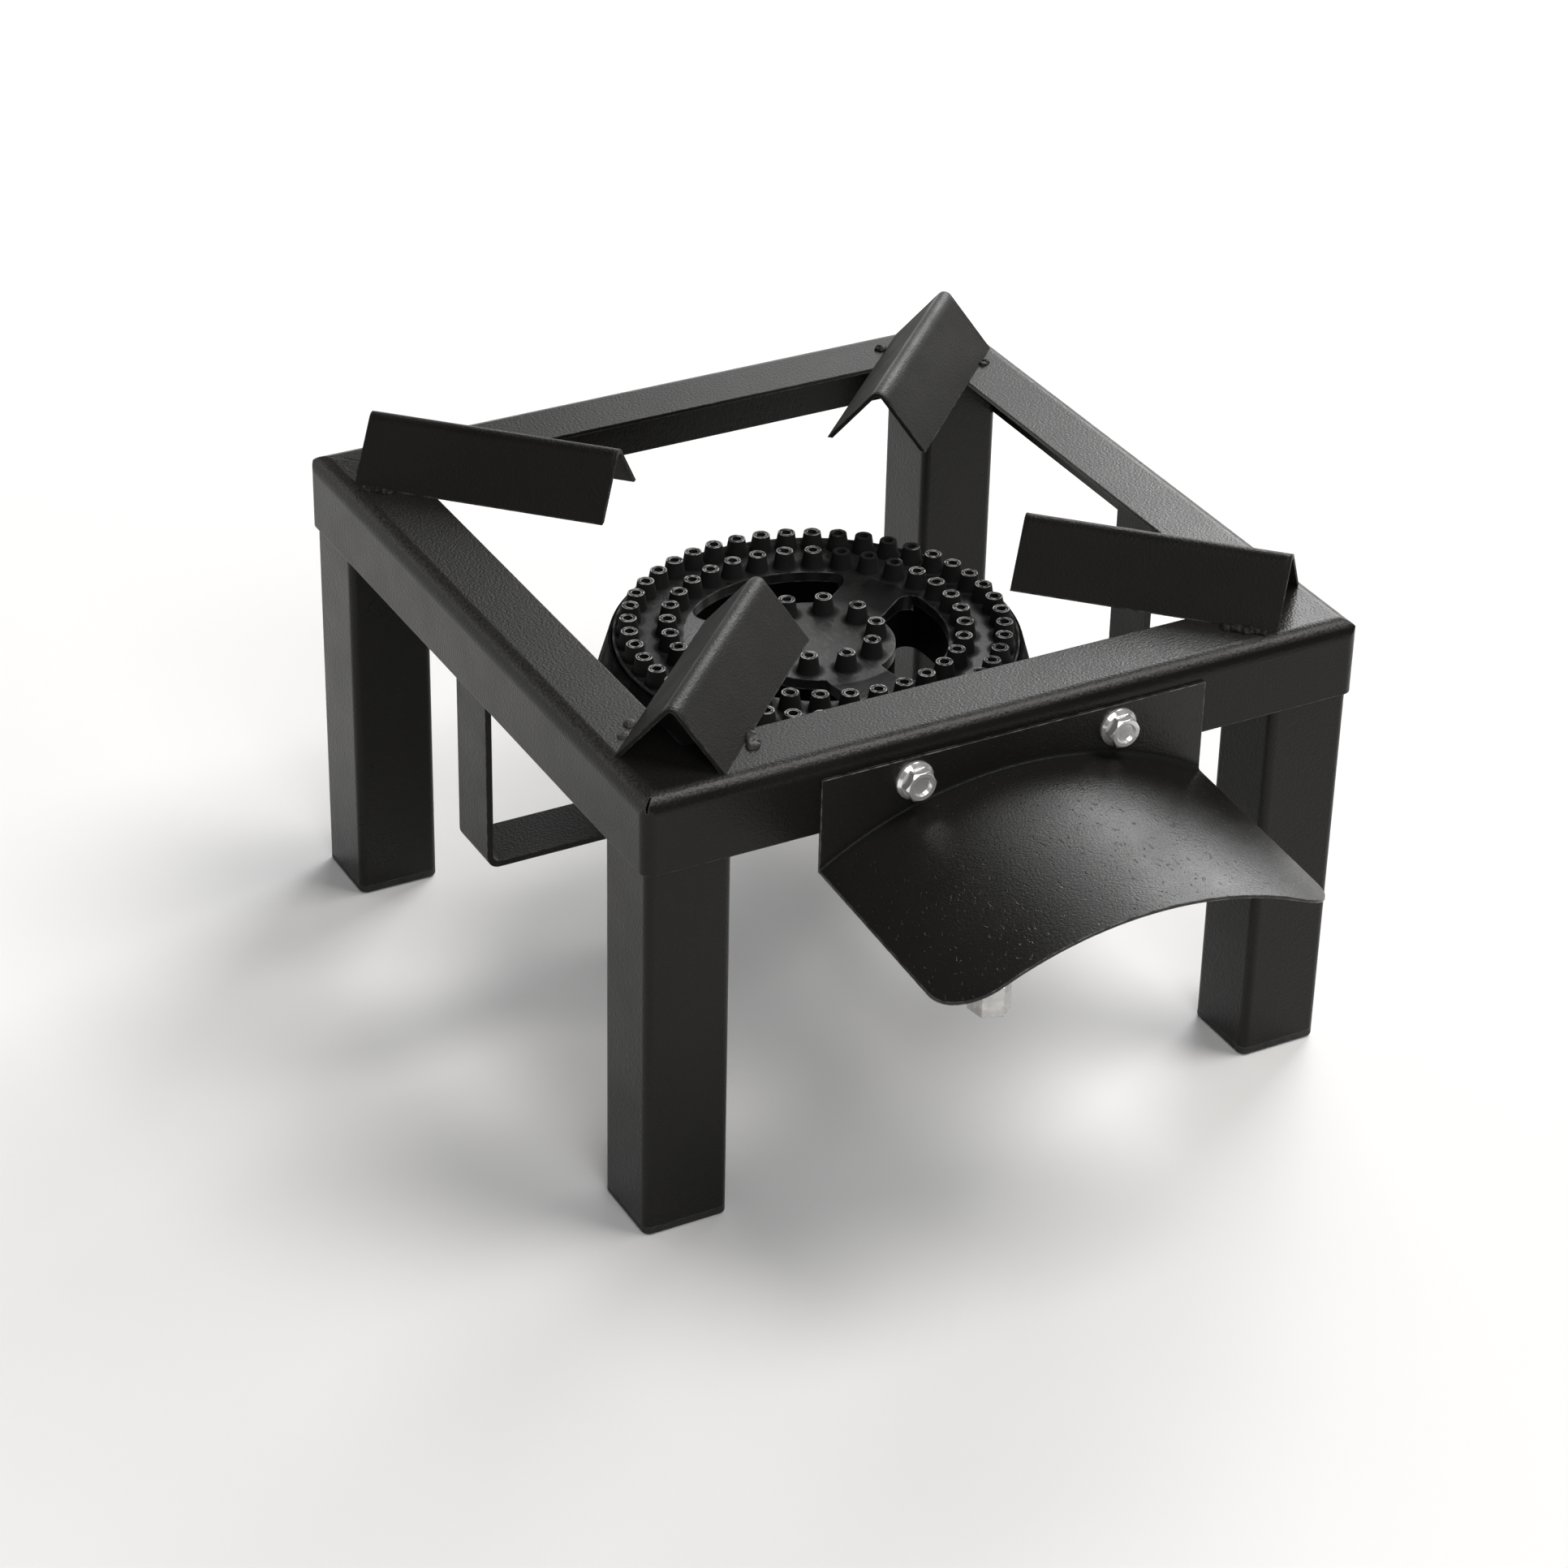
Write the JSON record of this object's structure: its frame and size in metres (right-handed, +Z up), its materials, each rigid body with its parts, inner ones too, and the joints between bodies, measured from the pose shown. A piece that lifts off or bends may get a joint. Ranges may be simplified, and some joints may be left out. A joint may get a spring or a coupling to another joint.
{
  "type": "portable camping stove",
  "caption": "Low square gas stove: angle-steel stand on tube legs, folded pot supports, cast multi-jet burner on a strap, arched heat shield over a turning gas tap.",
  "frame": {"origin": "on the floor, at the middle of the overall width and length", "axes": "+Z up; -Y to the front, where the heat shield and the gas tap are; +X to the right seen from the front"},
  "size_m": [0.35, 0.465, 0.2467],
  "materials": {
    "powder_coat": "satin black powder coat, fine orange peel",
    "burner_iron": "black painted rough casting",
    "tube_steel": "satin black paint",
    "zinc": "bright zinc plate",
    "brass": "turned, dull",
    "shutter_steel": "plain rolled sheet",
    "spring_steel": "plain spring steel",
    "inlet_steel": "nickel plated",
    "cap_plastic": "matt black moulding",
    "knob_plastic": "satin black moulding"
  },
  "bodies": {
    "stand": {"top_frame": "powder_coat", "burner_strap": "powder_coat", "heat_shield": "powder_coat", "shield_bolts": "zinc", "shield_nuts": "zinc", "burner_bolts": "zinc", "burner_nuts": "zinc", "head_screws": "zinc", "burner_head": "burner_iron", "burner_body": "burner_iron", "mixing_tube": "tube_steel", "tap_carrier": "brass", "injector": "brass", "tap_body": "brass", "plug_spring": "spring_steel", "gland_nut": "brass", "gas_inlet": "inlet_steel", "front_left_leg": "powder_coat", "front_left_foot_cap": "cap_plastic", "front_left_pot_support": "powder_coat", "front_right_leg": "powder_coat", "front_right_foot_cap": "cap_plastic", "front_right_pot_support": "powder_coat", "back_right_leg": "powder_coat", "back_right_foot_cap": "cap_plastic", "back_right_pot_support": "powder_coat", "back_left_leg": "powder_coat", "back_left_foot_cap": "cap_plastic", "back_left_pot_support": "powder_coat"},
    "tap_spindle": {"tap_knob": "knob_plastic", "tap_plug": "brass"},
    "shutter": {"air_shutter": "shutter_steel"}
  },
  "joints": [
    {"name": "tap_turn", "type": "hinge", "parent": "stand", "child": "tap_spindle", "pos_m": [0, -0.1075, 0.121], "axis": [0, -1, 0], "range_deg": [0, 90]},
    {"name": "air_shutter_turn", "type": "hinge", "parent": "stand", "child": "shutter", "pos_m": [0, -0.0635, 0.121], "axis": [0, -1, 0], "range_deg": [0, 80]}
  ]
}
